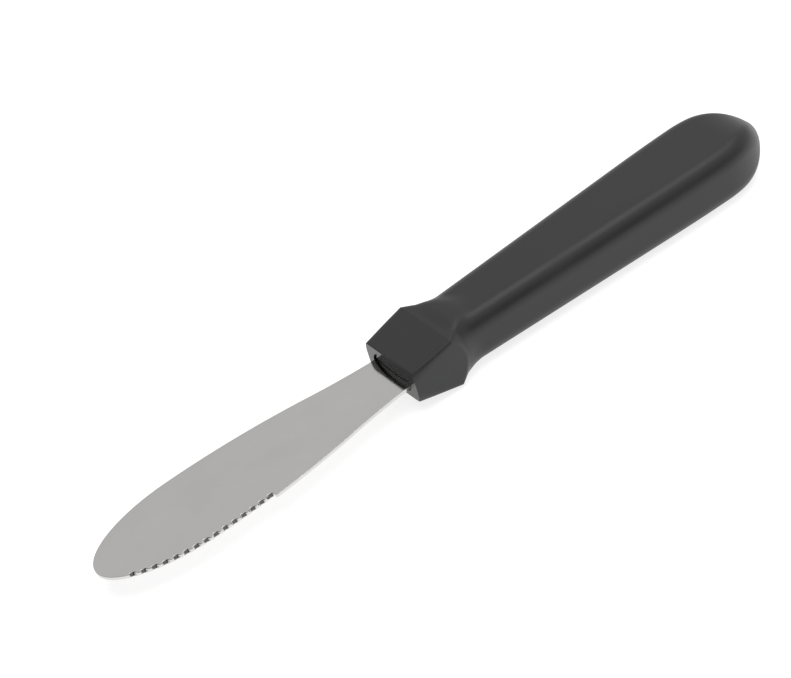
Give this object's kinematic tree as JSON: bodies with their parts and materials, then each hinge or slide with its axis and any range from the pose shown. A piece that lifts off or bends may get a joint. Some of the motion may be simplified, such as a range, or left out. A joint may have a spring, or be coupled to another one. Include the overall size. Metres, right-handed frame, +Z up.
{
  "type": "sandwich spreader",
  "caption": "Straight serrated spreader for butter and fillings, with a thin round-tipped steel blade moulded into a black plastic handle with a faceted bolster.",
  "frame": {"origin": "under the middle of the whole tool, on the surface that it lies on", "axes": "+X along the tool from the blade's tip to the butt, -Y towards the serrated edge, +Z up, out of the face that the teeth are ground into"},
  "size_m": [0.203, 0.0254, 0.0155],
  "materials": {
    "blade_steel": "fine satin, polished enough to mirror what touches it",
    "core_plastic": "black polypropylene, as moulded",
    "handle_plastic": "black polypropylene, fine even texture"
  },
  "bodies": {
    "root": {"blade": "blade_steel", "tang_core": "core_plastic", "handle_shell": "handle_plastic"}
  },
  "joints": []
}
